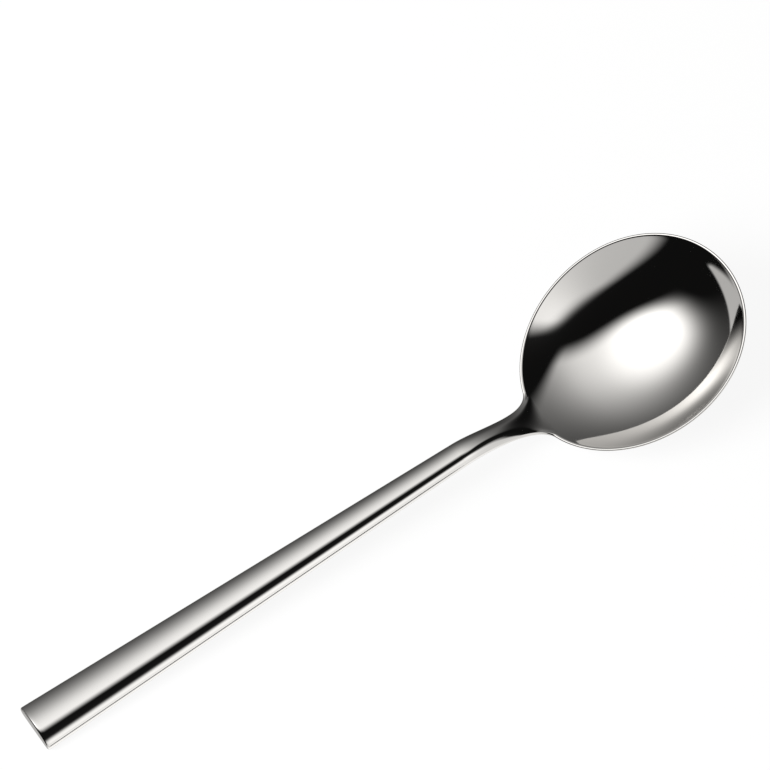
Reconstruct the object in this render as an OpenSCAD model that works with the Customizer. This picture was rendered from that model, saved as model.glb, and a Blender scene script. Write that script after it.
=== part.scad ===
// Serving spoon with a hollow handle, lying on a table as it rests.
// +X runs from the end of the handle to the tip of the bowl, +Y across it and +Z up.
// The origin is on the table, below the middle of the spoon's box.

/* [Handle] */
// Length of the hollow handle, from its end face to the joint at the neck
handle_length = 147; // [120:1:170]
// Width of the handle at its end face
butt_width = 15.2; // [12:0.1:18]
// Width of the handle where the neck joins it
mouth_width = 7.9; // [7:0.1:9]
// Radius of the rounded sides, which is also the depth of the underside below the seams
side_radius = 2.2; // [1.8:0.1:2.6]
// Radius of the domed top at the end face
butt_crown_radius = 11; // [9.5:0.5:40]
// Radius of the domed top where the neck joins the handle
mouth_crown_radius = 4.8; // [4.6:0.1:12]
// Wall of the two half shells
shell_wall = 0.9; // [0.6:0.1:1.1]
// Thickness of the brazed seams
braze_gap = 0.2; // [0.1:0.05:0.4]

/* [Butt cap] */
// Thickness of the plate that closes the handle
cap_plate = 1.4; // [1:0.1:3]
// Radius of the rounded edge around the end face
butt_round = 0.6; // [0.2:0.1:0.9]
// Length of the plug behind the plate
cap_plug = 4; // [2:0.5:8]
// Clearance of the plug in the shells
cap_clearance = 0.05; // [0.02:0.01:0.2]

/* [Neck] */
// Distance along the handle from the joint to the rim
neck_length = 26; // [22:0.5:36]
// Drop of the rim below the handle's middle, at the neck
neck_drop = 8.6; // [5:0.1:12]
// Half width of the foot where the neck spreads along the rim
foot_half_width = 8.5; // [6:0.1:10]
// Depth of the foot below the rim in its middle, down the outside of the bowl
foot_depth = 6.5; // [5:0.1:10]
// Depth of the foot below the rim at its two ends
edge_depth = 0.8; // [0.4:0.1:2]
// Straight lead of the neck's top and sides before they bend
top_lead = 9; // [6:0.5:14]
// Straight lead of the neck's underside before it bends
underside_lead = 7; // [4:0.5:12]
// Length over which the neck's top and sides blend into the rim
rim_blend = 7.5; // [3:0.5:9]
// Slope at which the middle of the neck's top runs down to the rim
top_slope = 33; // [0:1:36]
// Length over which the neck's underside blends into the outside of the bowl
underside_blend = 9; // [5:0.5:12]
// Length of the tang inside the handle
tang_length = 45; // [20:1:80]
// Width of the tang
tang_width = 4; // [3.2:0.1:4.6]
// Thickness of the tang
tang_thickness = 2.5; // [1.6:0.1:2.8]

/* [Bowl] */
// Length of the bowl over its rim
bowl_length = 71.5; // [60:0.5:85]
// Width of the bowl over its rim
bowl_width = 61; // [50:0.5:75]
// Depth of the bowl inside, below the rim
bowl_depth = 11.5; // [10:0.5:20]
// Thickness of the bowl's wall
bowl_wall = 1.2; // [0.8:0.1:2]
// Angle at which the rim rises from the handle's line to the tip
bowl_tilt = 15; // [8:0.5:20]
// Fullness of the bowl: 2 is a plain dish, higher is flatter with steeper sides
bowl_fullness = 2.8; // [2:0.05:3]
// How much wider the bowl is towards its tip, as a share of its width
bowl_egg = 0.036; // [0:0.002:0.08]

/* [Hidden] */

// Steps along each rounded side, the crown, the rounded end, the neck and the bowl
side_steps = 5;
crown_steps = 8;
round_steps = 3;
neck_steps = 14;
bowl_sides = 72;
bowl_steps = 14;
// Shrinking outlines that close the foot against the bowl, and the first ring of the bowl
foot_shrinks = [0.7, 0.4];
first_ring = 0.07;
// How far the neck's sides turn along the rim as they arrive, and how late across the neck the turn grows
side_turn = 0.7;
turn_power = 1.5;
// Step for finding directions on the bowl
small_step = 0.01;

butt_half = butt_width / 2;
mouth_half = mouth_width / 2;
shell_start = cap_plate;
shell_end = handle_length - braze_gap;
bedding_start = cap_plate + cap_plug;
tang_start = handle_length - tang_length;
inner_radius = side_radius - shell_wall;
mouth_top = crown_height(mouth_half, side_radius, mouth_crown_radius);
tang_middle = (mouth_top - side_radius) / 2;

rim_half_length = bowl_length / 2;
rim_half_width = bowl_width / 2;
rim_x = handle_length + neck_length + rim_half_length * cos(bowl_tilt);
rim_z = -neck_drop + rim_half_length * sin(bowl_tilt);
foot_middle = foot_depth / 2;

// A list in the opposite order
function backwards(list) = [for (i = [len(list) - 1 : -1 : 0]) list[i]];

// A vector of unit length
function unit(v) = v / norm(v);

// Point at t on a cubic curve with four control points
function cubic(a, b, c, d, t) =
    a * pow(1 - t, 3) + b * 3 * t * pow(1 - t, 2) + c * 3 * t * t * (1 - t) + d * pow(t, 3);

// Straight taper along the handle between two values, after a constant stretch over the cap
function taper(x, at_butt, at_mouth) =
    at_butt + (at_mouth - at_butt) * max(0, x - cap_plate) / (handle_length - cap_plate);
function half_width(x) = taper(x, butt_half, mouth_half);
function crown_radius(x) = taper(x, butt_crown_radius, mouth_crown_radius);

// Height of the domed top above the seam plane
function crown_height(w, r, crown) = crown - sqrt(pow(crown - r, 2) - pow(w - r, 2));

// Angle from upright at which a rounded side of radius r meets the seam
function seam_angle(r) = acos(braze_gap / 2 / r);

// Upper half of a section, from the +Y seam over the crown to the -Y seam
function top_curve(w, r, crown) =
    let (
        seam = seam_angle(r),
        edge = asin((w - r) / (crown - r)),
        centre = crown_height(w, r, crown) - crown,
        side = [for (i = [0 : side_steps])
            let (a = seam + (edge - seam) * i / side_steps)
            [w - r + r * sin(a), r * cos(a)]],
        top = [for (i = [1 : crown_steps - 1])
            let (a = edge * (1 - 2 * i / crown_steps))
            [crown * sin(a), centre + crown * cos(a)]]
    )
    concat(side, top, [for (p = backwards(side)) [-p[0], p[1]]]);

// Lower half of a section, from the +Y seam over the flat underside to the -Y seam
function bottom_curve(w, r) =
    let (
        seam = seam_angle(r),
        side = [for (i = [0 : side_steps])
            let (a = seam * (1 - i / side_steps))
            [w - r + r * sin(a), -r * cos(a)]],
        flat = [for (i = [1 : crown_steps - 1]) [(w - r) * (1 - 2 * i / crown_steps), -r]]
    )
    concat(side, flat, [for (p = backwards(side)) [-p[0], p[1]]]);

function outer_top(x) = top_curve(half_width(x), side_radius, crown_radius(x));
function outer_bottom(x) = bottom_curve(half_width(x), side_radius);
function inner_top(x) = top_curve(half_width(x) - shell_wall, inner_radius, crown_radius(x) - shell_wall);
function inner_bottom(x) = bottom_curve(half_width(x) - shell_wall, inner_radius);
function tang_bottom() = bottom_curve(tang_width / 2, tang_thickness / 2);
function tang_top() = [for (p = tang_bottom()) [p[0], -p[1]]];

// Closed outline of a section from its upper and lower curves
function outline(upper, lower) = concat(upper, backwards(lower));

// Places a section outline at x
function ring(x, section) = [for (p = section) [x, p[0], p[1]]];

function inset_ring(x, inset) =
    let (
        w = half_width(x) - inset,
        r = side_radius - inset
    )
    ring(x, outline(top_curve(w, r, crown_radius(x) - inset), bottom_curve(w, r)));
function outer_ring(x) = inset_ring(x, 0);
function inner_ring(x) = inset_ring(x, shell_wall);

// The tang lies in the middle of the handle's hollow
function tang_ring(x) = ring(x, [for (p = outline(tang_top(), tang_bottom())) [p[0], p[1] + tang_middle]]);

// Point of a bowl surface: share of the way out from the middle, angle from the tip,
// half length, half width and depth of the surface, in the handle's frame
function dish_point(share, angle, half_length, half_width, depth) =
    let (
        u = half_length * share * cos(angle),
        v = half_width * share * sin(angle) * (1 + bowl_egg * share * cos(angle)),
        w = -depth * (1 - pow(share, bowl_fullness))
    )
    [rim_x + u * cos(bowl_tilt) - w * sin(bowl_tilt), v, rim_z + u * sin(bowl_tilt) + w * cos(bowl_tilt)];

function inside_point(share, angle) =
    dish_point(share, angle, rim_half_length - bowl_wall, rim_half_width - bowl_wall, bowl_depth);
function outside_point(share, angle) =
    dish_point(share, angle, rim_half_length, rim_half_width, bowl_depth + bowl_wall);

// Angle of a section point from the middle of the top or of the underside, and its share across the neck
function side_angle(p) = atan2(p[0], abs(p[1]));
function across(p) = sin(side_angle(p));

// How much a section point belongs to the underside: 0 above the seams, 1 in the middle of the underside
function under(p) = p[1] > 0 ? 0 : cos(side_angle(p));

// How much a section point belongs to the top: 1 in the middle of the top, 0 below the seams
function over(p) = p[1] > 0 ? cos(side_angle(p)) : 0;

// Point of the foot on the outside of the bowl: share across it and depth below the rim
function foot_point(aside, depth) =
    let (
        share = pow(1 - depth / (bowl_depth + bowl_wall), 1 / bowl_fullness),
        reach = foot_half_width * aside / (rim_half_width * share * (1 - bowl_egg * share))
    )
    outside_point(share, 180 - asin(reach));

// Depth below the rim at which a section point lands
function landing_depth(p) =
    p[1] > 0
        ? edge_depth * (1 - cos(side_angle(p)))
        : edge_depth + (foot_depth - edge_depth) * under(p);

// Where a section point lands on the bowl, with the foot's outline shrunk to a share
function landing(p, shrink) =
    foot_point(across(p) * shrink, foot_middle + (landing_depth(p) - foot_middle) * shrink);

// Direction in which the neck's surface arrives: sloping down in the middle of the top, down the bowl's
// outside in the middle of the underside, and turned along the rim at the sides
function arrival(p) =
    let (
        here = across(p),
        depth = landing_depth(p),
        wall = unit(foot_point(here, depth + small_step) - foot_point(here, depth)),
        down = [cos(top_slope), 0, -sin(top_slope)],
        ahead = unit([1, 0, 0] * (1 - over(p) - under(p)) + down * over(p) + wall * under(p)),
        along_rim = unit(foot_point(here + small_step, 0) - foot_point(here, 0)) * sign(here),
        turn = side_turn * pow(abs(here), turn_power)
    )
    unit(ahead * (1 - turn) + along_rim * turn);

// Ring of the neck at t, from the joint at 0 to the bowl at 1
function neck_ring(t) = [
    for (p = outline(outer_top(handle_length), outer_bottom(handle_length)))
        let (
            start = [handle_length, p[0], p[1]],
            end = landing(p, 1),
            lead = top_lead + (underside_lead - top_lead) * under(p),
            blend = rim_blend + (underside_blend - rim_blend) * under(p)
        )
        cubic(start, start + [lead, 0, 0], end - arrival(p) * blend, end, t)
];

// Outline of the foot on the bowl, shrunk to a share
function foot_ring(shrink) = [
    for (p = outline(outer_top(handle_length), outer_bottom(handle_length))) landing(p, shrink)
];

function inside_ring(share) = [for (i = [0 : bowl_sides - 1]) inside_point(share, 360 * i / bowl_sides)];
function outside_ring(share) = [for (i = [0 : bowl_sides - 1]) outside_point(share, 360 * i / bowl_sides)];

// Pose on the table: the handle's end and the bottom of the bowl both touch it
keel = [for (i = [0 : bowl_sides]) outside_point(i / bowl_sides, 180)];
rest_tilt = max([for (p = keel) atan2(-side_radius - p[2], p[0])]);
butt_top = crown_height(butt_half, side_radius, butt_crown_radius);
tip = outside_point(1, 0);
rear_x = -(butt_top - butt_round) * sin(rest_tilt);
front_x = tip[0] * cos(rest_tilt) - tip[2] * sin(rest_tilt);

module at_rest() {
    translate([-(rear_x + front_x) / 2, 0, side_radius * cos(rest_tilt)])
        rotate([0, -rest_tilt, 0])
            children();
}

// Solid through a row of outlines with the same number of points. The ends are capped,
// or joined to each other where closed is true. flip turns the faces the other way round.
module loft(rings, flip = false, closed = false) {
    count = len(rings);
    size = len(rings[0]);
    half = size / 2;
    sides = [for (k = [0 : count - (closed ? 1 : 2)], j = [0 : size - 1])
        let (
            near = k * size,
            far = (k + 1) % count * size,
            next = (j + 1) % size
        )
        each [[near + j, far + j, far + next], [near + j, far + next, near + next]]];
    strip = [for (j = [0 : half - 2])
        each [[j, j + 1, size - 2 - j], [j, size - 2 - j, size - 1 - j]]];
    last = (count - 1) * size;
    caps = closed ? [] : concat(strip, [for (f = strip) [last + f[2], last + f[1], last + f[0]]]);
    faces = concat(sides, caps);
    polyhedron([for (r = rings) each r], [for (f = faces) flip ? backwards(f) : f]);
}

module bowl() {
    color("silver")
        at_rest()
            loft(
                concat(
                    [for (i = [0 : bowl_steps]) inside_ring(max(first_ring, i / bowl_steps))],
                    [for (i = [bowl_steps : -1 : 0]) outside_ring(max(first_ring, i / bowl_steps))]
                ),
                flip = true
            );
}

module neck() {
    color("silver")
        at_rest()
            loft(concat(
                [tang_ring(tang_start), tang_ring(handle_length)],
                [for (i = [0 : neck_steps]) neck_ring(i / neck_steps)],
                [for (s = foot_shrinks) foot_ring(s)]
            ));
}

module handle_top_shell() {
    color("silver")
        at_rest()
            loft([for (x = [shell_start, shell_end]) ring(x, outline(outer_top(x), inner_top(x)))]);
}

module handle_bottom_shell() {
    color("silver")
        at_rest()
            loft([for (x = [shell_start, shell_end]) ring(x, outline(inner_bottom(x), outer_bottom(x)))]);
}

module butt_cap() {
    plug_inset = shell_wall + cap_clearance;
    color("silver")
        at_rest()
            loft(concat(
                [for (i = [0 : round_steps])
                    let (a = 90 * i / round_steps)
                    inset_ring(butt_round * (1 - cos(a)), butt_round * (1 - sin(a)))],
                [outer_ring(cap_plate)],
                [inset_ring(cap_plate, plug_inset), inset_ring(bedding_start, plug_inset)]
            ));
}

module tang_bedding() {
    color("tan")
        at_rest()
            loft(
                [
                    tang_ring(tang_start), tang_ring(handle_length),
                    inner_ring(handle_length), inner_ring(bedding_start)
                ],
                flip = true
            );
}

module seam_braze() {
    color("khaki")
        at_rest()
            for (side = [0, 1])
                mirror([0, side, 0])
                    loft([for (x = [shell_start, shell_end])
                        let (
                            out = outer_top(x)[0],
                            in = inner_top(x)[0]
                        )
                        ring(x, outline([out, in], [[out[0], -out[1]], [in[0], -in[1]]]))]);
}

module mouth_braze() {
    color("khaki")
        at_rest()
            loft(
                [
                    outer_ring(shell_end), outer_ring(handle_length),
                    inner_ring(handle_length), inner_ring(shell_end)
                ],
                closed = true
            );
}

bowl();
neck();
handle_top_shell();
handle_bottom_shell();
butt_cap();
tang_bedding();
seam_braze();
mouth_braze();
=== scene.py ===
"""Serving spoon: mirror-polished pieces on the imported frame, a pale floor and a soft studio."""
import math

import bpy
import numpy as np
from mathutils import Matrix, Vector


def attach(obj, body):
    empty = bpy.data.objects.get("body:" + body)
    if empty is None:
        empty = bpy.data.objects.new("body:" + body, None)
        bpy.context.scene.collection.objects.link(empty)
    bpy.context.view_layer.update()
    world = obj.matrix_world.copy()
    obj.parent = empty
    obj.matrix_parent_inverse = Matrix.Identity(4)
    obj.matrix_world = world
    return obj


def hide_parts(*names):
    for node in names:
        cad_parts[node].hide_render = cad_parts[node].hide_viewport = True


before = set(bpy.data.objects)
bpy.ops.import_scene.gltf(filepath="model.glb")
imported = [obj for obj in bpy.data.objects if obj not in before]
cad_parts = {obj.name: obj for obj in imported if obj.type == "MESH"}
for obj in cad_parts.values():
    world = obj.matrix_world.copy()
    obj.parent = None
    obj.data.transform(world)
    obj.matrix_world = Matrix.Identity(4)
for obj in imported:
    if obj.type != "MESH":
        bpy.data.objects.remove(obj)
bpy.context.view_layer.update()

MM = 0.001

# Sizes of the spoon in millimetres and degrees, and two plain numbers, as in the part's source
HANDLE_LENGTH = 147.0
BUTT_WIDTH = 15.2
MOUTH_WIDTH = 7.9
SIDE_RADIUS = 2.2
BUTT_CROWN_RADIUS = 11.0
MOUTH_CROWN_RADIUS = 4.8
SHELL_WALL = 0.9
BRAZE_GAP = 0.2
CAP_PLATE = 1.4
BUTT_ROUND = 0.6
CAP_PLUG = 4.0
CAP_CLEARANCE = 0.05
NECK_LENGTH = 26.0
NECK_DROP = 8.6
FOOT_HALF_WIDTH = 8.5
FOOT_DEPTH = 6.5
EDGE_DEPTH = 0.8
TANG_LENGTH = 45.0
TANG_WIDTH = 4.0
TANG_THICKNESS = 2.5
BOWL_LENGTH = 71.5
BOWL_WIDTH = 61.0
BOWL_DEPTH = 11.5
BOWL_WALL = 1.2
BOWL_TILT = 15.0
BOWL_FULLNESS = 2.8
BOWL_EGG = 0.036

# Finish of the edges, which the solids leave sharp
EDGE_THINNING = 0.4
THINNING_POWER = 10
LIP_OVERHANG = 0.32
LIP_OUTER_ROUND = 0.74
LIP_INNER_ROUND = 0.35
LIP_OUTER_WEIGHT = 0.38
LIP_INNER_WEIGHT = 0.92
DEPTH_EASE = 0.10

# How the polished neck flows from the handle into the rim
TOP_LEAD = 12.0
SIDE_LEAD = 9.0
UNDERSIDE_LEAD = 7.0
TOP_BLEND = 7.0
SIDE_BLEND = 7.0
UNDERSIDE_BLEND = 9.0
SIDE_TURN = 0.9
TURN_POWER = 1.5
LIP_COVER_LEVEL = 0.55
INSIDE_REACH = 1.2
NECK_ZONE_INNER = 3.0
NECK_ZONE_OUTER = 9.5

# Rings that close the neck inside the foot, as shares of the foot's size
FOOT_SHRINKS = (0.7, 0.4, 0.1)

# Steps of the smooth meshes
SIDE_STEPS = 20
CROWN_STEPS = 24
ROUND_STEPS = 8
HANDLE_STATIONS = 25
NECK_STATIONS = 56
BOWL_SIDES = 288
BOWL_RINGS = 56
EDGE_STEPS = 12
KEEL_POINTS = 73
SHARP_ANGLE = 35.0

# Small steps that give the direction of a surface: along a wall's profile, and elsewhere
SHARE_STEP = 0.001
PROBE_STEP = 0.01

# Sizes that follow from the ones above
BUTT_HALF = BUTT_WIDTH / 2
MOUTH_HALF = MOUTH_WIDTH / 2
RIM_HALF_LENGTH = BOWL_LENGTH / 2
RIM_HALF_WIDTH = BOWL_WIDTH / 2
OUTER_DEPTH = BOWL_DEPTH + BOWL_WALL
SKIN_DEPTH = OUTER_DEPTH - DEPTH_EASE
LIP_WIDTH = BOWL_WALL - EDGE_THINNING
SHELL_END = HANDLE_LENGTH - BRAZE_GAP
BEDDING_START = CAP_PLATE + CAP_PLUG
TILT_COS = math.cos(math.radians(BOWL_TILT))
TILT_SIN = math.sin(math.radians(BOWL_TILT))
RIM_X = HANDLE_LENGTH + NECK_LENGTH + RIM_HALF_LENGTH * TILT_COS
RIM_Z = -NECK_DROP + RIM_HALF_LENGTH * TILT_SIN


def unit(v):
    """Vectors of unit length."""
    return v / np.linalg.norm(v, axis=-1, keepdims=True)


def smooth(low, high, value):
    """Smooth step from 0 at low to 1 at high."""
    t = np.clip((value - low) / (high - low), 0.0, 1.0)
    return t * t * (3 - 2 * t)


# Sections of the handle
def taper(x, at_butt, at_mouth):
    return at_butt + (at_mouth - at_butt) * max(0.0, x - CAP_PLATE) / (HANDLE_LENGTH - CAP_PLATE)


def half_width(x):
    return taper(x, BUTT_HALF, MOUTH_HALF)


def crown_radius(x):
    return taper(x, BUTT_CROWN_RADIUS, MOUTH_CROWN_RADIUS)


def crown_height(w, r, crown):
    return crown - math.sqrt((crown - r) ** 2 - (w - r) ** 2)


def top_curve(w, r, crown):
    """Upper half of a section, from the +Y seam over the crown to the -Y seam."""
    seam = math.acos(BRAZE_GAP / 2 / r)
    edge = math.asin((w - r) / (crown - r))
    centre = crown_height(w, r, crown) - crown
    a = np.linspace(seam, edge, SIDE_STEPS + 1)
    side = np.c_[w - r + r * np.sin(a), r * np.cos(a)]
    b = np.linspace(edge, -edge, CROWN_STEPS + 1)[1:-1]
    top = np.c_[crown * np.sin(b), centre + crown * np.cos(b)]
    return np.vstack([side, top, side[::-1] * [-1, 1]])


def bottom_curve(w, r):
    """Lower half of a section, from the +Y seam over the flat underside to the -Y seam."""
    seam = math.acos(BRAZE_GAP / 2 / r)
    a = np.linspace(seam, 0, SIDE_STEPS + 1)
    side = np.c_[w - r + r * np.sin(a), -r * np.cos(a)]
    y = np.linspace(w - r, r - w, CROWN_STEPS + 1)[1:-1]
    flat = np.c_[y, np.full_like(y, -r)]
    return np.vstack([side, flat, side[::-1] * [-1, 1]])


def outer_top(x, inset=0.0):
    return top_curve(half_width(x) - inset, SIDE_RADIUS - inset, crown_radius(x) - inset)


def outer_bottom(x, inset=0.0):
    return bottom_curve(half_width(x) - inset, SIDE_RADIUS - inset)


def outline(upper, lower):
    return np.vstack([upper, lower[::-1]])


def ring(x, section):
    return np.c_[np.full(len(section), x), section]


def inset_ring(x, inset):
    return ring(x, outline(outer_top(x, inset), outer_bottom(x, inset)))


# Surfaces of the bowl: half length, half width, share of the egg shape, height above the rim plane, angle
def bowl_point(half_length, half_breadth, share, height, angle):
    u = half_length * np.cos(angle)
    v = half_breadth * np.sin(angle) * (1 + BOWL_EGG * share * np.cos(angle))
    x = RIM_X + u * TILT_COS - height * TILT_SIN
    z = RIM_Z + u * TILT_SIN + height * TILT_COS
    return np.stack(np.broadcast_arrays(x, v, z), -1)


def inside_profile(share):
    """Half length, half width, share and height of the inside at a share of the way out."""
    thinning = EDGE_THINNING * share ** THINNING_POWER
    return np.stack([
        (RIM_HALF_LENGTH - BOWL_WALL) * share + thinning,
        (RIM_HALF_WIDTH - BOWL_WALL) * share + thinning,
        share,
        -BOWL_DEPTH * (1 - share ** BOWL_FULLNESS),
    ], -1)


def outside_profile(share):
    """The same for the outside, whose rim runs out a little, so that the rounded lip ends at the rim."""
    return np.stack([
        (RIM_HALF_LENGTH + LIP_OVERHANG) * share,
        (RIM_HALF_WIDTH + LIP_OVERHANG) * share,
        share,
        -SKIN_DEPTH * (1 - share ** BOWL_FULLNESS),
    ], -1)


def lip_profile(inset):
    """The same for the flat of the lip, at a distance in from the true rim."""
    inset = np.asarray(inset, float)
    one = np.ones_like(inset)
    return np.stack([RIM_HALF_LENGTH - inset, RIM_HALF_WIDTH - inset, one, one * 0.0], -1)


def corner_curve(before, corner, after, weight):
    """Rounded corner of a profile: an arc if the weight is the cosine of half the turn."""
    t = np.linspace(0, 1, EDGE_STEPS + 1)[:, None]
    pull = 2 * weight * t * (1 - t)
    total = (1 - t) ** 2 + pull + t ** 2
    return (before * (1 - t) ** 2 + corner * pull + after * t ** 2) / total


def share_at_distance(profile, distance):
    """Share at which a wall lies a distance below its rim, measured along its length profile."""
    run = np.linalg.norm((profile(1.0) - profile(1.0 - SHARE_STEP))[[0, 3]]) / SHARE_STEP
    return 1.0 - distance / run


OUTER_ROUND_SHARE = share_at_distance(outside_profile, LIP_OUTER_ROUND)
LIP_OUTER_START = LIP_OUTER_ROUND - LIP_OVERHANG
OUTER_CURVE = corner_curve(
    lip_profile(LIP_OUTER_START),
    lip_profile(-LIP_OVERHANG),
    outside_profile(OUTER_ROUND_SHARE),
    LIP_OUTER_WEIGHT,
)
OUTER_ROUND_DEPTH = -OUTER_CURVE[-1, 3]


def landing_profile(coordinate):
    """Profile rows under the neck: depth down the outside where positive, inset on the lip where negative,
    and past the lip the depth down the inside."""
    rows = []
    for c in coordinate:
        if c <= -LIP_WIDTH:
            rows.append(inside_profile((1 - (-c - LIP_WIDTH) / BOWL_DEPTH) ** (1 / BOWL_FULLNESS)))
        elif c <= -LIP_OUTER_START:
            rows.append(lip_profile(-c))
        elif c < OUTER_ROUND_DEPTH:
            t = (c + LIP_OUTER_START) / (OUTER_ROUND_DEPTH + LIP_OUTER_START)
            k = min(int(t * EDGE_STEPS), EDGE_STEPS - 1)
            f = t * EDGE_STEPS - k
            rows.append(OUTER_CURVE[k] * (1 - f) + OUTER_CURVE[k + 1] * f)
        else:
            rows.append(outside_profile((1 - c / SKIN_DEPTH) ** (1 / BOWL_FULLNESS)))
    return np.array(rows)


def foot_point(across, coordinate):
    """Point of the bowl under the neck: share across the foot, coordinate along the lip and the wall."""
    rows = landing_profile(coordinate)
    reach = FOOT_HALF_WIDTH * across / (rows[:, 1] * (1 - BOWL_EGG * rows[:, 2]))
    angle = math.pi - np.arcsin(reach)
    return bowl_point(rows[:, 0], rows[:, 1], rows[:, 2], rows[:, 3], angle)


# Pose on the table, as in the part's source
def outside_keel(share):
    """Bottom line of the solid bowl's outside, towards the neck."""
    return bowl_point(
        RIM_HALF_LENGTH * share, 0.0, share, -OUTER_DEPTH * (1 - share ** BOWL_FULLNESS), math.pi
    )


KEEL = outside_keel(np.linspace(0, 1, KEEL_POINTS))
REST_TILT = float(np.arctan2(-SIDE_RADIUS - KEEL[:, 2], KEEL[:, 0]).max())
REST_COS = math.cos(REST_TILT)
REST_SIN = math.sin(REST_TILT)
BUTT_TOP = crown_height(BUTT_HALF, SIDE_RADIUS, BUTT_CROWN_RADIUS)
TIP = bowl_point(RIM_HALF_LENGTH, 0.0, 1.0, 0.0, 0.0)
REAR_X = -(BUTT_TOP - BUTT_ROUND) * REST_SIN
FRONT_X = float(TIP[0] * REST_COS - TIP[2] * REST_SIN)


def at_rest(points):
    """Points of the handle's frame, in millimetres, on the table in metres."""
    x, y, z = np.asarray(points, float).T
    return np.c_[
        x * REST_COS - z * REST_SIN - (REAR_X + FRONT_X) / 2,
        y,
        x * REST_SIN + z * REST_COS + SIDE_RADIUS * REST_COS,
    ] * MM


# Meshes
def add_object(name, data):
    made = bpy.data.objects.new(name, data)
    bpy.context.scene.collection.objects.link(made)
    return made


def make_piece(name, points, faces, finish):
    mesh = bpy.data.meshes.new(name)
    mesh.from_pydata([tuple(p) for p in at_rest(points)], [], faces)
    mesh.validate()
    mesh.polygons.foreach_set("use_smooth", [True] * len(mesh.polygons))
    mesh.set_sharp_from_angle(angle=math.radians(SHARP_ANGLE))
    mesh.materials.append(finish)
    return add_object(name, mesh)


def loft(rings, closed=False):
    """Points and faces of a solid through a row of outlines, capped or joined to itself."""
    count = len(rings)
    size = len(rings[0])
    faces = []
    for k in range(count if closed else count - 1):
        near = k * size
        far = (k + 1) % count * size
        for j in range(size):
            n = (j + 1) % size
            faces.append((near + n, far + n, far + j, near + j))
    if not closed:
        last = (count - 1) * size
        for j in range(size // 2 - 1):
            cap = (j, j + 1, size - 2 - j, size - 1 - j)
            faces.append(cap[::-1])
            faces.append(tuple(last + i for i in cap))
    return np.vstack(rings), faces


def reverse(faces):
    return [f[::-1] for f in faces]


def joined(*solids):
    """One mesh from several solids that do not touch."""
    points = []
    faces = []
    base = 0
    for p, f in solids:
        points.append(p)
        faces += [tuple(base + i for i in face) for face in f]
        base += len(p)
    return np.vstack(points), faces


# Materials: colours are linear, scales are in features per metre, and the painted shade changes along the X
# axis
# Painted light and shade: the same metal is painted lighter on the handle and darker in the bowl
STEEL_LIT_ON_HANDLE = (0.93, 0.92, 0.905)
STEEL_SHADED_IN_BOWL = (0.755, 0.745, 0.73)
BRAZE_LIT_ON_HANDLE = (0.92, 0.905, 0.87)
BRAZE_SHADED_IN_BOWL = (0.75, 0.735, 0.70)
# Painted shade: between these X values, in metres, the metal's colour goes from the handle's to the bowl's
PAINTED_SHADE_START = -0.02
PAINTED_SHADE_END = 0.06
DRIFT_SCALE = 60.0
DRIFT_DETAIL = 2.0
DRIFT_LOW = 0.98
HAZE_SCALE = 900.0
HAZE_DETAIL = 4.0
HAZE_STRETCH = (0.15, 1.0, 1.0)
HAZE_LOW = 0.03
HAZE_HIGH = 0.055
RESIN_DARK = (0.42, 0.35, 0.24)
RESIN_LIGHT = (0.62, 0.55, 0.42)
RESIN_SCALE = 400.0
RESIN_DETAIL = 5.0
RESIN_ROUGHNESS = 0.55
NOISE_FROM = 0.3
NOISE_TO = 0.7
UNSTRETCHED = (1.0, 1.0, 1.0)


def material(name):
    """A new node material, its node tree and its shader."""
    made = bpy.data.materials.new(name)
    made.use_nodes = True
    tree = made.node_tree
    return made, tree, tree.nodes["Principled BSDF"]


def bare_material(name):
    """A new node material with nothing but an output, its node tree and the output's surface."""
    made, tree, _ = material(name)
    tree.nodes.clear()
    output = tree.nodes.new("ShaderNodeOutputMaterial")
    return made, tree, output.inputs["Surface"]


def coloured_noise(tree, scale, detail, low, high, stretch=UNSTRETCHED):
    """Colour that wanders between two values over the object."""
    place = tree.nodes.new("ShaderNodeTexCoord")
    mapping = tree.nodes.new("ShaderNodeMapping")
    mapping.inputs["Scale"].default_value = stretch
    noise = tree.nodes.new("ShaderNodeTexNoise")
    noise.inputs["Scale"].default_value = scale
    noise.inputs["Detail"].default_value = detail
    ramp = tree.nodes.new("ShaderNodeValToRGB")
    ramp.color_ramp.elements[0].position = NOISE_FROM
    ramp.color_ramp.elements[1].position = NOISE_TO
    ramp.color_ramp.elements[0].color = (*low, 1.0)
    ramp.color_ramp.elements[1].color = (*high, 1.0)
    tree.links.new(place.outputs["Object"], mapping.inputs["Vector"])
    tree.links.new(mapping.outputs["Vector"], noise.inputs["Vector"])
    tree.links.new(noise.outputs["Fac"], ramp.inputs["Fac"])
    return ramp.outputs["Color"]


def grey(value):
    return (value, value, value)


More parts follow.
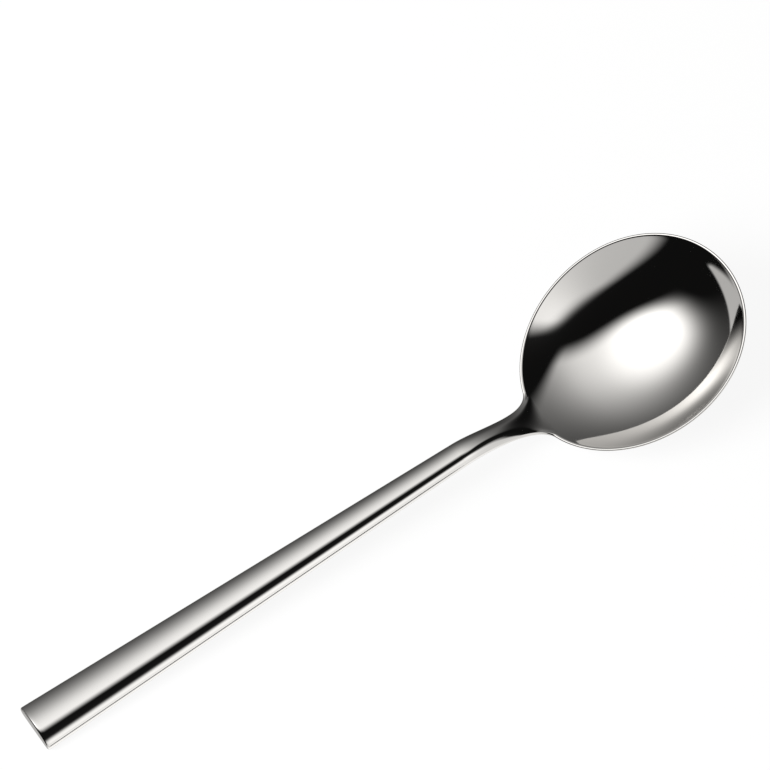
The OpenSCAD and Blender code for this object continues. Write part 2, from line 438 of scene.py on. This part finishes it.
def polished_metal(name, lit_handle_colour, shaded_bowl_colour):
    """Mirror polish with painted light and shade: brighter on the handle and darker in the bowl, with a
    faint drift and a buffed haze.
    """
    made, tree, shader = material(name)
    shader.inputs["Metallic"].default_value = 1.0
    place = tree.nodes.new("ShaderNodeTexCoord")
    parts = tree.nodes.new("ShaderNodeSeparateXYZ")
    tree.links.new(place.outputs["Object"], parts.inputs["Vector"])
    along = tree.nodes.new("ShaderNodeMapRange")
    along.inputs["From Min"].default_value = PAINTED_SHADE_START
    along.inputs["From Max"].default_value = PAINTED_SHADE_END
    tree.links.new(parts.outputs["X"], along.inputs["Value"])
    # Painted shade: this ramp paints the metal lighter on the handle and darker in the bowl
    painted_shade_ramp = tree.nodes.new("ShaderNodeValToRGB")
    painted_shade_ramp.color_ramp.elements[0].color = (*lit_handle_colour, 1.0)
    painted_shade_ramp.color_ramp.elements[1].color = (*shaded_bowl_colour, 1.0)
    tree.links.new(along.outputs["Result"], painted_shade_ramp.inputs["Fac"])
    drift = tree.nodes.new("ShaderNodeVectorMath")
    drift.operation = "MULTIPLY"
    tree.links.new(painted_shade_ramp.outputs["Color"], drift.inputs[0])
    wander = coloured_noise(tree, DRIFT_SCALE, DRIFT_DETAIL, grey(DRIFT_LOW), grey(1.0))
    tree.links.new(wander, drift.inputs[1])
    tree.links.new(drift.outputs["Vector"], shader.inputs["Base Color"])
    haze = coloured_noise(tree, HAZE_SCALE, HAZE_DETAIL, grey(HAZE_LOW), grey(HAZE_HIGH), HAZE_STRETCH)
    tree.links.new(haze, shader.inputs["Roughness"])
    return made


def cast_resin(name):
    made, tree, shader = material(name)
    shader.inputs["Roughness"].default_value = RESIN_ROUGHNESS
    colour = coloured_noise(tree, RESIN_SCALE, RESIN_DETAIL, RESIN_DARK, RESIN_LIGHT)
    tree.links.new(colour, shader.inputs["Base Color"])
    return made


STEEL = polished_metal("polished_steel", STEEL_LIT_ON_HANDLE, STEEL_SHADED_IN_BOWL)
BRAZE = polished_metal("silver_braze", BRAZE_LIT_ON_HANDLE, BRAZE_SHADED_IN_BOWL)
RESIN = cast_resin("cast_resin")


# Bowl
def bowl_profiles():
    """Profile rows from the middle of the inside over the lip to the middle of the outside."""
    inner_share = share_at_distance(inside_profile, LIP_INNER_ROUND)
    shares = np.linspace(0, 1, BOWL_RINGS + 1)[1:]
    inside = inside_profile(shares * inner_share)
    inner_edge = corner_curve(
        inside_profile(inner_share),
        lip_profile(LIP_WIDTH),
        lip_profile(LIP_WIDTH - LIP_INNER_ROUND),
        LIP_INNER_WEIGHT,
    )
    outside = outside_profile(shares[::-1] * OUTER_ROUND_SHARE)
    return inside, inner_edge[1:], OUTER_CURVE, outside[1:]


def make_bowl():
    inside, inner_edge, outer_edge, outside = bowl_profiles()
    rows = np.vstack([inside, inner_edge, outer_edge, outside])
    sharp_rows = rows.copy()
    sharp_rows[len(inside):len(inside) + len(inner_edge)] = lip_profile(
        np.linspace(LIP_WIDTH, LIP_WIDTH - LIP_INNER_ROUND, len(inner_edge))
    )
    angle = np.linspace(0, 2 * math.pi, BOWL_SIDES, endpoint=False)
    rings = []
    for plain, sharp in zip(rows, sharp_rows):
        across = np.abs(plain[1] * np.sin(angle))
        near_neck = 1 - smooth(NECK_ZONE_INNER, NECK_ZONE_OUTER, across)
        zone = np.where(np.cos(angle) < 0, near_neck, 0)[:, None]
        mixed = plain * (1 - zone) + sharp * zone
        rings.append(bowl_point(mixed[:, 0], mixed[:, 1], mixed[:, 2], mixed[:, 3], angle))
    points = np.vstack(rings)
    faces = []
    for k in range(len(rings) - 1):
        for j in range(BOWL_SIDES):
            n = (j + 1) % BOWL_SIDES
            near = k * BOWL_SIDES
            far = near + BOWL_SIDES
            faces.append((far + j, far + n, near + n, near + j))
    middle = bowl_point(0.0, 0.0, 0.0, np.array([-BOWL_DEPTH, -SKIN_DEPTH]), 0.0)
    first = len(points)
    last = (len(rings) - 1) * BOWL_SIDES
    for j in range(BOWL_SIDES):
        n = (j + 1) % BOWL_SIDES
        faces.append((first, j, n))
        faces.append((first + 1, last + n, last + j))
    return make_piece("bowl_polished", np.vstack([points, middle]), faces, STEEL)


# Neck
def tang_ring(x):
    lower = bottom_curve(TANG_WIDTH / 2, TANG_THICKNESS / 2)
    middle = (crown_height(MOUTH_HALF, SIDE_RADIUS, MOUTH_CROWN_RADIUS) - SIDE_RADIUS) / 2
    return ring(x, outline(lower * [1, -1], lower) + [0, middle])


def make_neck():
    """Neck and tang in one: the handle's section flows along curves to the foot on the bowl."""
    section = outline(outer_top(HANDLE_LENGTH), outer_bottom(HANDLE_LENGTH))
    probe = HANDLE_LENGTH - PROBE_STEP
    before = outline(outer_top(probe), outer_bottom(probe))
    side_angle = np.arctan2(section[:, 0], np.abs(section[:, 1]))
    across = np.sin(side_angle)
    upper = section[:, 1] > 0
    level = np.cos(side_angle)
    under = np.where(upper, 0.0, level)[:, None]
    over = np.where(upper, level, 0.0)[:, None]
    cover = smooth(0.0, LIP_COVER_LEVEL, over)
    coordinate = np.where(
        upper,
        EDGE_DEPTH * (1 - level) - (LIP_WIDTH + INSIDE_REACH) * cover[:, 0],
        EDGE_DEPTH + (FOOT_DEPTH - EDGE_DEPTH) * level,
    )
    start = ring(HANDLE_LENGTH, section)
    end = foot_point(across, coordinate)
    leaving = unit(np.c_[np.full(len(section), PROBE_STEP), section - before])
    inner = np.minimum(coordinate, -LIP_WIDTH)
    down = unit(foot_point(across, inner - PROBE_STEP) - foot_point(across, inner))
    outer = np.maximum(coordinate, OUTER_ROUND_DEPTH)
    wall = unit(foot_point(across, outer + PROBE_STEP) - foot_point(across, outer))
    level_way = np.array([1.0, 0.0, 0.0])
    ahead = unit(level_way * (1 - under - cover) + wall * under + down * cover)
    along = unit(foot_point(across + PROBE_STEP, coordinate) - end) * np.sign(across)[:, None]
    turn = (SIDE_TURN * np.abs(across) ** TURN_POWER)[:, None]
    arrival = unit(ahead * (1 - turn) + along * turn)
    lead = SIDE_LEAD + (TOP_LEAD - SIDE_LEAD) * over + (UNDERSIDE_LEAD - SIDE_LEAD) * under
    blend = SIDE_BLEND + (TOP_BLEND - SIDE_BLEND) * over + (UNDERSIDE_BLEND - SIDE_BLEND) * under
    second = start + leaving * lead
    third = end - arrival * blend
    rings = [tang_ring(HANDLE_LENGTH - TANG_LENGTH), tang_ring(HANDLE_LENGTH)]
    for t in np.linspace(0, 1, NECK_STATIONS + 1):
        left = 1 - t
        rings.append(
            start * left ** 3 + second * 3 * t * left ** 2 + third * 3 * t ** 2 * left + end * t ** 3
        )
    middle = FOOT_DEPTH / 2
    for shrink in FOOT_SHRINKS:
        rings.append(foot_point(across * shrink, middle + (coordinate - middle) * shrink))
    points, faces = loft(rings)
    return make_piece("neck_polished", points, faces, STEEL)


# Handle
STATIONS = np.linspace(CAP_PLATE, SHELL_END, HANDLE_STATIONS)


def make_top_shell():
    points, faces = loft([ring(x, outline(outer_top(x), outer_top(x, SHELL_WALL))) for x in STATIONS])
    return make_piece("handle_top_shell_polished", points, faces, STEEL)


def make_bottom_shell():
    points, faces = loft([ring(x, outline(outer_bottom(x, SHELL_WALL), outer_bottom(x))) for x in STATIONS])
    return make_piece("handle_bottom_shell_polished", points, faces, STEEL)


def make_butt_cap():
    plug_inset = SHELL_WALL + CAP_CLEARANCE
    rings = []
    for a in np.linspace(0, math.pi / 2, ROUND_STEPS + 1):
        rings.append(inset_ring(BUTT_ROUND * (1 - math.cos(a)), BUTT_ROUND * (1 - math.sin(a))))
    rings.append(inset_ring(CAP_PLATE, 0.0))
    rings.append(inset_ring(CAP_PLATE, plug_inset))
    rings.append(inset_ring(BEDDING_START, plug_inset))
    points, faces = loft(rings)
    return make_piece("butt_cap_polished", points, faces, STEEL)


def seam_section(x):
    """Section of the brazed seam on the +Y side, between the shells' outer and inner faces."""
    half = BRAZE_GAP / 2
    outside = half_width(x)
    z = np.linspace(half, -half, EDGE_STEPS + 1)
    outer = np.c_[outside - SIDE_RADIUS + np.sqrt(SIDE_RADIUS ** 2 - z ** 2), z]
    inner_radius = SIDE_RADIUS - SHELL_WALL
    inner = np.c_[outside - SIDE_RADIUS + np.sqrt(inner_radius ** 2 - z ** 2), z]
    return outline(outer, inner)


def make_seam_braze():
    points, faces = loft([ring(x, seam_section(x)) for x in STATIONS])
    left = (points, reverse(faces))
    right = (points * [1, -1, 1], faces)
    points, faces = joined(left, right)
    return make_piece("seam_braze_polished", points, faces, BRAZE)


def make_mouth_braze():
    rings = [
        inset_ring(SHELL_END, 0.0),
        inset_ring(HANDLE_LENGTH, 0.0),
        inset_ring(HANDLE_LENGTH, SHELL_WALL),
        inset_ring(SHELL_END, SHELL_WALL),
    ]
    points, faces = loft(rings, closed=True)
    return make_piece("mouth_braze_polished", points, faces, BRAZE)


PIECES = {
    "bowl": (make_bowl, "polished_steel"),
    "neck": (make_neck, "polished_steel"),
    "handle_top_shell": (make_top_shell, "polished_steel"),
    "handle_bottom_shell": (make_bottom_shell, "polished_steel"),
    "butt_cap": (make_butt_cap, "polished_steel"),
    "seam_braze": (make_seam_braze, "braze"),
    "mouth_braze": (make_mouth_braze, "braze"),
}
for node_name, (make, slot_name) in PIECES.items():
    piece = make()
    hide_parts(node_name)
    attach(piece, "root")

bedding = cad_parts["tang_bedding"]
bedding.data.materials.clear()
bedding.data.materials.append(RESIN)


# Studio: soft areas of light, given by directions. The tent hangs over the handle's end, the card stands
# in front, and the table and the ground lie below. An edge is a direction that the area lies towards, the
# cosine at the middle of the edge and half its softness. A glow is the direction of its middle, its strength
# and how tightly it falls off.
MAIN_GLOW = ((-0.734, 0.170, 0.657), 11.029, 14.21)
WIDE_GLOW = ((-0.581, -0.205, 0.788), 1.850, 2.26)
TENT_EDGES = [
    ((0.376, 0.916, -0.144), -0.281, 0.14),
    ((0.987, 0.147, 0.059), -0.216, 0.635),
    ((-0.425, 0.708, 0.563), 0.114, 0.092),
]
CARD_LEVEL = 0.60
CARD_GLOW = ((0.289, -0.712, 0.640), 0.518, 14.35)
CARD_EDGES = [
    ((0.106, -0.915, -0.391), 0.325, 0.10),
    ((0.033, 0.065, -0.997), -0.75, 0.11),
    ((-0.621, 0.024, -0.783), -0.745, 0.07),
    ((0.0, -1.0, 0.0), 0.02, 0.12),
]
FRONT_GLOW = ((0.17, -0.97, -0.1), 0.33, 10.0)
GROUND_LEVEL = 0.45
GROUND_EDGE = ((0.0, 0.0, -1.0), 0.6, 0.2)
TABLE_LEVEL = 0.54
TABLE_EDGES = [
    ((-0.243, 0.0, -0.970), 0.264, 0.015),
    ((0.0, 0.395, 0.919), 0.015, 0.02),
    ((0.0, 0.865, 0.502), 0.11, 0.03),
    ((-1.0, 0.0, 0.0), 0.5, 0.1),
]
DARK_LEVEL = 0.0055
TINT = (1.01, 1.0, 0.985)


def build_world():
    """The studio, which lights and is reflected, and a white background for the camera alone."""
    world = bpy.data.worlds.new("studio")
    bpy.context.scene.world = world
    world.use_nodes = True
    tree = world.node_tree
    tree.nodes.clear()
    new = tree.nodes.new
    link = tree.links.new
    place = new("ShaderNodeTexCoord")

    def combined(operation, a, b):
        node = new("ShaderNodeMath")
        node.operation = operation
        for socket, value in zip(node.inputs, (a, b)):
            if isinstance(value, (int, float)):
                socket.default_value = value
            else:
                link(value, socket)
        return node.outputs[0]

    def towards(direction):
        node = new("ShaderNodeVectorMath")
        node.operation = "DOT_PRODUCT"
        node.inputs[1].default_value = Vector(direction).normalized()
        link(place.outputs["Generated"], node.inputs[0])
        return node.outputs["Value"]

    def edge(direction, middle, softness):
        node = new("ShaderNodeMapRange")
        node.interpolation_type = "SMOOTHSTEP"
        node.inputs["From Min"].default_value = middle - softness
        node.inputs["From Max"].default_value = middle + softness
        link(towards(direction), node.inputs["Value"])
        return node.outputs["Result"]

    def glow(direction, strength, tightness):
        away = combined("SUBTRACT", towards(direction), 1.0)
        fall = combined("EXPONENT", combined("MULTIPLY", away, tightness), 0.0)
        return combined("MULTIPLY", fall, strength)

    def bounded(light, edges):
        for given in edges:
            light = combined("MULTIPLY", light, edge(*given))
        return light

    tent = bounded(combined("ADD", glow(*MAIN_GLOW), glow(*WIDE_GLOW)), TENT_EDGES)
    card = bounded(combined("ADD", glow(*CARD_GLOW), CARD_LEVEL), CARD_EDGES)
    table = bounded(TABLE_LEVEL, TABLE_EDGES)
    ground = bounded(GROUND_LEVEL, [GROUND_EDGE])
    light = DARK_LEVEL
    for area in (tent, card, table, ground, glow(*FRONT_GLOW)):
        light = combined("ADD", area, light)
    colour = new("ShaderNodeCombineColor")
    for socket, tint in zip(colour.inputs, TINT):
        link(combined("MULTIPLY", light, tint), socket)
    studio = new("ShaderNodeBackground")
    link(colour.outputs["Color"], studio.inputs["Color"])
    white = new("ShaderNodeBackground")
    white.inputs["Color"].default_value = (1.0, 1.0, 1.0, 1.0)
    path = new("ShaderNodeLightPath")
    mix = new("ShaderNodeMixShader")
    link(path.outputs["Is Camera Ray"], mix.inputs["Fac"])
    link(studio.outputs["Background"], mix.inputs[1])
    link(white.outputs["Background"], mix.inputs[2])
    output = new("ShaderNodeOutputWorld")
    link(mix.outputs["Shader"], output.inputs["Surface"])


# Floor and lamp, in metres and watts
FLOOR_HALF = 2.0
FLOOR_GREY = 0.9
SHADOW_SHARE = 0.10
LAMP_SIZE = 0.9
LAMP_POWER = 20.0
LAMP_DISTANCE = 1.2


def build_floor():
    """Pale floor that the camera sees nearly white, with a share of its shadow. Reflections don't see it."""
    mesh = bpy.data.meshes.new("floor")
    signs = [(-1, -1), (1, -1), (1, 1), (-1, 1)]
    mesh.from_pydata([(x * FLOOR_HALF, y * FLOOR_HALF, 0.0) for x, y in signs], [], [(0, 1, 2, 3)])
    made, tree, surface = bare_material("pale_floor")
    diffuse = tree.nodes.new("ShaderNodeBsdfDiffuse")
    diffuse.inputs["Color"].default_value = (*grey(FLOOR_GREY), 1.0)
    white = tree.nodes.new("ShaderNodeEmission")
    white.inputs["Color"].default_value = (*grey(1.0), 1.0)
    path = tree.nodes.new("ShaderNodeLightPath")
    share = tree.nodes.new("ShaderNodeMath")
    share.operation = "MULTIPLY"
    share.inputs[1].default_value = 1.0 - SHADOW_SHARE
    tree.links.new(path.outputs["Is Camera Ray"], share.inputs[0])
    mix = tree.nodes.new("ShaderNodeMixShader")
    tree.links.new(share.outputs[0], mix.inputs["Fac"])
    tree.links.new(diffuse.outputs["BSDF"], mix.inputs[1])
    tree.links.new(white.outputs["Emission"], mix.inputs[2])
    tree.links.new(mix.outputs["Shader"], surface)
    mesh.materials.append(made)
    floor = add_object("floor", mesh)
    floor.visible_glossy = False


# Painted shadow beside the handle, a dark strip seen only in reflections: two corners near the butt and two
# near the neck, in metres
PAINTED_SHADOW_HEIGHT = 0.0005
PAINTED_SHADOW_CORNERS = [(-0.119, -0.027), (0.033, -0.083), (0.033, -0.031), (-0.119, -0.0142)]
PAINTED_SHADOW_LEVEL = 0.05


def build_painted_shadow():
    """Painted shadow: a dark strip on the floor that only reflections see, in place of the shade beside the
    handle. It draws the grey line on the handle's edge.
    """
    mesh = bpy.data.meshes.new("shadow_patch")
    mesh.from_pydata([(x, y, PAINTED_SHADOW_HEIGHT) for x, y in PAINTED_SHADOW_CORNERS], [], [(0, 1, 2, 3)])
    made, tree, surface = bare_material("painted_floor_shadow")
    # Painted shadow: a faint dark glow in place of the floor's shade beside the handle
    dark = tree.nodes.new("ShaderNodeEmission")
    dark.inputs["Color"].default_value = (*grey(PAINTED_SHADOW_LEVEL), 1.0)
    tree.links.new(dark.outputs["Emission"], surface)
    mesh.materials.append(made)
    shadow_patch = add_object("shadow_patch", mesh)
    shadow_patch.visible_camera = False
    shadow_patch.visible_diffuse = False
    shadow_patch.visible_shadow = False


def build_lamp():
    """Soft light from the tent's brightest side, which gives the floor its shadow."""
    lamp = bpy.data.lights.new("overhead", "AREA")
    lamp.shape = "DISK"
    lamp.size = LAMP_SIZE
    lamp.energy = LAMP_POWER
    holder = add_object("overhead", lamp)
    holder.location = Vector(MAIN_GLOW[0]) * LAMP_DISTANCE
    holder.rotation_euler = (-holder.location).to_track_quat("-Z", "Y").to_euler()
    holder.visible_glossy = False


# Camera, fitted to the outline in the photograph: its spot, in millimetres, and its directions are in the
# handle's frame, and its reach is in metres
IMAGE_SIZE = 770.0
SENSOR_WIDTH = 36.0
FOCAL_PIXELS = 8661.1
CAMERA_SPOT = (-288.845, -857.475, 2312.737)
CAMERA_AIM = (0.171239, 0.353202, -0.919742)
CAMERA_UP = (0.532592, 0.752189, 0.388017)
CAMERA_REACH = 100.0


def build_camera():
    spot, ahead_end, up_end = at_rest([
        CAMERA_SPOT,
        np.add(CAMERA_SPOT, CAMERA_AIM),
        np.add(CAMERA_SPOT, CAMERA_UP),
    ])
    back = Vector(spot - ahead_end).normalized()
    right = Vector(up_end - spot).cross(back).normalized()
    up = back.cross(right)
    camera = bpy.data.cameras.new("camera")
    camera.sensor_width = SENSOR_WIDTH
    camera.lens = FOCAL_PIXELS * SENSOR_WIDTH / IMAGE_SIZE
    camera.clip_end = CAMERA_REACH
    holder = add_object("camera", camera)
    holder.location = spot
    holder.rotation_euler = Matrix((right, up, back)).transposed().to_euler()
    bpy.context.scene.camera = holder


build_world()
build_floor()
build_painted_shadow()
build_lamp()
build_camera()
bpy.context.scene.view_settings.view_transform = "Standard"
